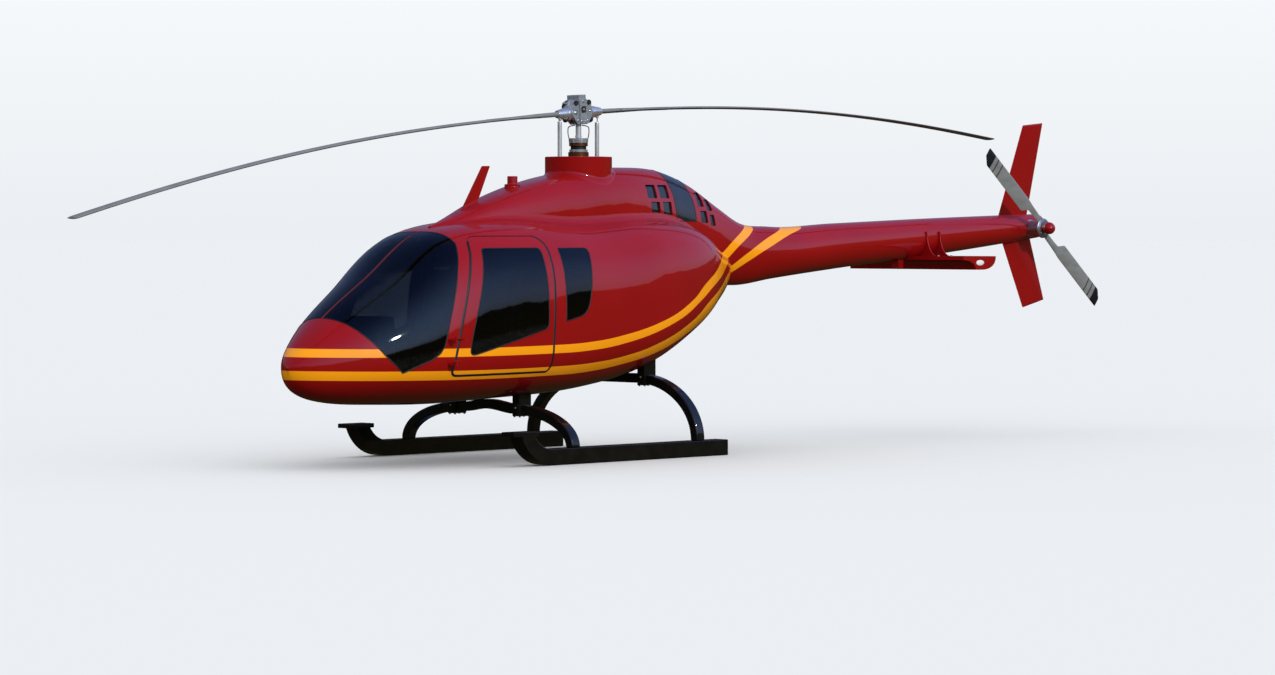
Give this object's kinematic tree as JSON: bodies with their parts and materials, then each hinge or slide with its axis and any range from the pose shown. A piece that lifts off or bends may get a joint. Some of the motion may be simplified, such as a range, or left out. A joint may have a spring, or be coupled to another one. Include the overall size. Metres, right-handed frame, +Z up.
{
  "type": "helicopter",
  "caption": "Light single-turbine helicopter on skids: two-blade teetering main rotor, two-blade tail rotor, hollow cabin with hinged side doors, glossy red with yellow stripes",
  "frame": {"origin": "On the ground midway along the machine's overall length, on its middle plane, level with the undersides of the skids", "axes": "+X towards the nose, +Y to the helicopter's left, +Z up"},
  "size_m": [13.1122, 2.299, 3.2879],
  "materials": {
    "red_paint": "gloss, deep clear coat, with yellow-orange stripes",
    "tinted_glass": "dark tint, polished",
    "gear_black": "gloss black",
    "blade_grey": "satin grey, black tips on the tail blades",
    "polished_steel": "polished",
    "cast_alloy": "as cast, satin",
    "seat_cloth": "woven",
    "cabin_trim": "matt",
    "dark_grille": "matt black"
  },
  "bodies": {
    "airframe": {"beacon": "red_paint", "cabin_floor": "cabin_trim", "cabin_shell": "red_paint", "clamp_front_left": "gear_black", "clamp_front_right": "gear_black", "clamp_rear_left": "gear_black", "clamp_rear_right": "gear_black", "cowling": "red_paint", "cross_tube_front": "gear_black", "cross_tube_rear": "gear_black", "engine": "cast_alloy", "engine_screen": "dark_grille", "fin_lower": "red_paint", "fin_upper": "red_paint", "grille_band": "dark_grille", "hinge_lug_high_left": "polished_steel", "hinge_lug_high_right": "polished_steel", "hinge_lug_low_left": "polished_steel", "hinge_lug_low_right": "polished_steel", "instrument_panel": "cabin_trim", "mast_collar": "red_paint", "nose_shell": "red_paint", "rear_bench": "seat_cloth", "rear_bulkhead": "cabin_trim", "seat_left": "seat_cloth", "seat_right": "seat_cloth", "side_window_left": "tinted_glass", "side_window_right": "tinted_glass", "skid_left": "gear_black", "skid_right": "gear_black", "stabiliser": "red_paint", "stabiliser_foot": "red_paint", "tail_boom": "red_paint", "tail_gearbox": "cast_alloy", "transmission": "cast_alloy", "windshield_left": "tinted_glass", "windshield_right": "tinted_glass", "wire_cutter": "red_paint"},
    "mast": {"mast": "polished_steel", "mast_sleeve": "polished_steel", "pitch_link_front": "polished_steel", "pitch_link_rear": "polished_steel", "swashplate": "polished_steel"},
    "main_rotor": {"blade_front": "blade_grey", "blade_rear": "blade_grey", "grip_front": "polished_steel", "grip_rear": "polished_steel", "rotor_hub": "polished_steel"},
    "tail_rotor": {"tail_blade_lower": "blade_grey", "tail_blade_upper": "blade_grey", "tail_rotor_cap": "red_paint", "tail_rotor_hub": "cast_alloy"},
    "door_left": {"door_left": "red_paint", "door_window_left": "tinted_glass"},
    "door_right": {"door_right": "red_paint", "door_window_right": "tinted_glass"}
  },
  "joints": [
    {"name": "mast_spin", "type": "hinge", "parent": "airframe", "child": "mast", "pos_m": [0.8228, 0, 2.7], "axis": [0, 0, 1], "continuous": true},
    {"name": "main_rotor_spin", "type": "hinge", "parent": "airframe", "child": "main_rotor", "pos_m": [0.8228, 0, 3.12], "axis": [0.0705, 0, 0.9975], "continuous": true},
    {"name": "tail_rotor_spin", "type": "hinge", "parent": "airframe", "child": "tail_rotor", "pos_m": [-5.6322, 0.28, 2.06], "axis": [0, 1, 0], "continuous": true},
    {"name": "door_left_swing", "type": "hinge", "parent": "airframe", "child": "door_left", "pos_m": [3.1608, 0.858, 1], "axis": [0, 0, -1], "range_deg": [0, 78]},
    {"name": "door_right_swing", "type": "hinge", "parent": "airframe", "child": "door_right", "pos_m": [3.1608, -0.858, 1], "axis": [0, 0, 1], "range_deg": [0, 78]}
  ],
  "couplings": [
    {"joint": "main_rotor_spin", "follows": "mast_spin", "ratio": 1}
  ]
}
